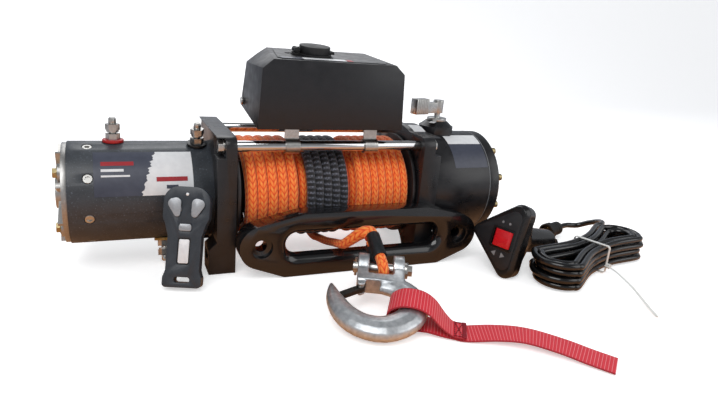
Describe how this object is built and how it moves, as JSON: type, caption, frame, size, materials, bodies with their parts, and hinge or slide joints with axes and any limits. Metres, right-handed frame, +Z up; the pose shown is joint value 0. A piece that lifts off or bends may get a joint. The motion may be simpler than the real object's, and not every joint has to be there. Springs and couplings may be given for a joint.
{
  "type": "electric recovery winch",
  "caption": "Electric recovery winch with wound synthetic rope, fairlead, clevis hook, control box, free-spool clutch, a wireless remote and a wired remote with its cable.",
  "frame": {"origin": "centre of the four base bolts, on the mounting face", "axes": "+X along the drum from the motor to the gearbox, +Y to the rear, +Z up"},
  "size_m": [0.7418, 0.4327, 0.2595],
  "materials": {
    "bracket_black": "satin black powder coat",
    "can_grey": "dark grey textured powder coat",
    "zinc": "bright zinc plate",
    "yellow_zinc": "yellowed zinc plate",
    "rod_chrome": "polished chrome",
    "steel": "ground steel",
    "bush_nylon": "moulded nylon",
    "brake_lining": "sintered lining and cam",
    "copper": "copper windings",
    "magnet": "ferrite",
    "brush_board": "brush board",
    "insulator": "moulded insulators",
    "rope_orange": "braided synthetic rope",
    "sleeve_black": "woven sleeve",
    "box_black": "fine moulded texture",
    "rubber": "matt rubber",
    "hook_zinc": "forged, zinc plated",
    "thimble_grey": "dark plated tube",
    "latch_dark": "darkened strip",
    "strap_red": "woven webbing",
    "remote_grey": "satin moulded case",
    "key_silver": "silver keys",
    "rocker_red": "red rocker",
    "cable_black": "smooth jacket",
    "tie_white": "nylon tie"
  },
  "bodies": {
    "root": {"motor_bracket": "bracket_black", "gear_bracket": "bracket_black", "tie_rods": "rod_chrome", "tie_rod_bolts": "zinc", "drum_bushes": "bush_nylon", "brake_core": "brake_lining", "motor_can": "can_grey", "motor_end_cap": "zinc", "end_cap_bolts": "yellow_zinc", "can_screws": "zinc", "field_poles": "magnet", "brush_ring": "brush_board", "terminal_insulators": "insulator", "terminal_studs": "zinc", "terminal_nuts": "zinc", "gearbox_housing": "bracket_black", "gearbox_cover": "bracket_black", "cover_screws": "yellow_zinc", "reduction_unit": "steel", "clutch_housing": "bracket_black", "control_box_cover": "box_black", "control_box_base": "bracket_black", "contactor": "box_black", "box_straps": "zinc", "box_screws": "zinc", "socket_housing": "rubber", "fairlead": "bracket_black", "rope_tail": "rope_orange", "thimble": "thimble_grey", "wireless_case": "remote_grey", "handset_shell": "rubber", "cable_lead": "cable_black", "cable_hank": "cable_black", "cable_tail": "cable_black", "remote_plug": "rubber", "cable_tie": "tie_white"},
    "drum": {"drum": "steel", "planet_carrier": "steel", "rope_core": "rope_orange", "rope_turns_motor_side": "rope_orange", "rope_sleeve_turns": "sleeve_black", "rope_turns_gear_side": "rope_orange"},
    "ring": {"ring_gear": "steel"},
    "planet_a": {"planet_gear_a": "steel"},
    "planet_b": {"planet_gear_b": "steel"},
    "planet_c": {"planet_gear_c": "steel"},
    "rotor": {"armature": "copper", "drive_shaft": "steel"},
    "lever": {"clutch_lever": "hook_zinc"},
    "plunger": {"clutch_pin": "steel"},
    "cap": {"socket_cap": "rubber"},
    "hook": {"hook": "hook_zinc", "clevis_pin": "zinc", "pull_strap": "strap_red", "latch_spring": "zinc"},
    "latch": {"hook_latch": "latch_dark"},
    "button_in": {"wireless_button_in": "key_silver"},
    "button_out": {"wireless_button_out": "key_silver"},
    "button_power": {"wireless_button_power": "key_silver"},
    "rocker": {"rocker_switch": "rocker_red"}
  },
  "joints": [
    {"name": "drum_spin", "type": "hinge", "parent": "root", "child": "drum", "pos_m": [0, 0, 0.081], "axis": [1, 0, 0], "continuous": true},
    {"name": "ring_spin", "type": "hinge", "parent": "root", "child": "ring", "pos_m": [0.1675, 0, 0.081], "axis": [1, 0, 0], "continuous": true},
    {"name": "planet_a_spin", "type": "hinge", "parent": "drum", "child": "planet_a", "pos_m": [0.1655, 0, 0.1134], "axis": [1, 0, 0], "continuous": true},
    {"name": "planet_b_spin", "type": "hinge", "parent": "drum", "child": "planet_b", "pos_m": [0.1655, -0.02806, 0.0648], "axis": [1, 0, 0], "continuous": true},
    {"name": "planet_c_spin", "type": "hinge", "parent": "drum", "child": "planet_c", "pos_m": [0.1655, 0.02806, 0.0648], "axis": [1, 0, 0], "continuous": true},
    {"name": "motor_spin", "type": "hinge", "parent": "root", "child": "rotor", "pos_m": [-0.2, 0, 0.081], "axis": [1, 0, 0], "continuous": true},
    {"name": "clutch_turn", "type": "hinge", "parent": "root", "child": "lever", "pos_m": [0.17, 0, 0.171], "axis": [0, 0, 1], "range_deg": [0, 90]},
    {"name": "clutch_pin_slide", "type": "slide", "parent": "root", "child": "plunger", "axis": [0, 0, -1], "range_m": [0, 0.004]},
    {"name": "socket_cap_flip", "type": "hinge", "parent": "root", "child": "cap", "pos_m": [-0.046, -0.03919, 0.24976], "axis": [0, -0.9948, -0.1022], "range_deg": [0, 110]},
    {"name": "hook_swing", "type": "hinge", "parent": "root", "child": "hook", "pos_m": [0.025, -0.16, 0.0305], "axis": [-0.9063, 0.4226, 0], "range_deg": [0, 75]},
    {"name": "latch_swing", "type": "hinge", "parent": "hook", "child": "latch", "pos_m": [-0.00848, -0.18446, 0.02344], "axis": [-0.0806, -0.1729, 0.9816], "range_deg": [0, 40], "stiffness_Nm_per_rad": 0.02, "springref_deg": -11.46},
    {"name": "button_in_press", "type": "slide", "parent": "root", "child": "button_in", "axis": [0.3214, 0.883, -0.342], "range_m": [0, 0.001], "stiffness_N_per_m": 400, "springref_m": -0.0005},
    {"name": "button_out_press", "type": "slide", "parent": "root", "child": "button_out", "axis": [0.3214, 0.883, -0.342], "range_m": [0, 0.001], "stiffness_N_per_m": 400, "springref_m": -0.0005},
    {"name": "button_power_press", "type": "slide", "parent": "root", "child": "button_power", "axis": [0.3214, 0.883, -0.342], "range_m": [0, 0.001], "stiffness_N_per_m": 400, "springref_m": -0.0005},
    {"name": "rocker_rock", "type": "hinge", "parent": "root", "child": "rocker", "pos_m": [0.19847, -0.14295, 0.04619], "axis": [0.222, 0.0721, 0.9724], "range_deg": [-7, 7], "stiffness_Nm_per_rad": 0.1}
  ],
  "couplings": [
    {"joint": "ring_spin", "follows": "drum_spin", "ratio": 1.2},
    {"joint": "planet_a_spin", "follows": "drum_spin", "ratio": 0.5},
    {"joint": "planet_b_spin", "follows": "drum_spin", "ratio": 0.5},
    {"joint": "planet_c_spin", "follows": "drum_spin", "ratio": 0.5},
    {"joint": "clutch_pin_slide", "follows": "clutch_turn", "m_per_rad": 0.0025465}
  ]
}
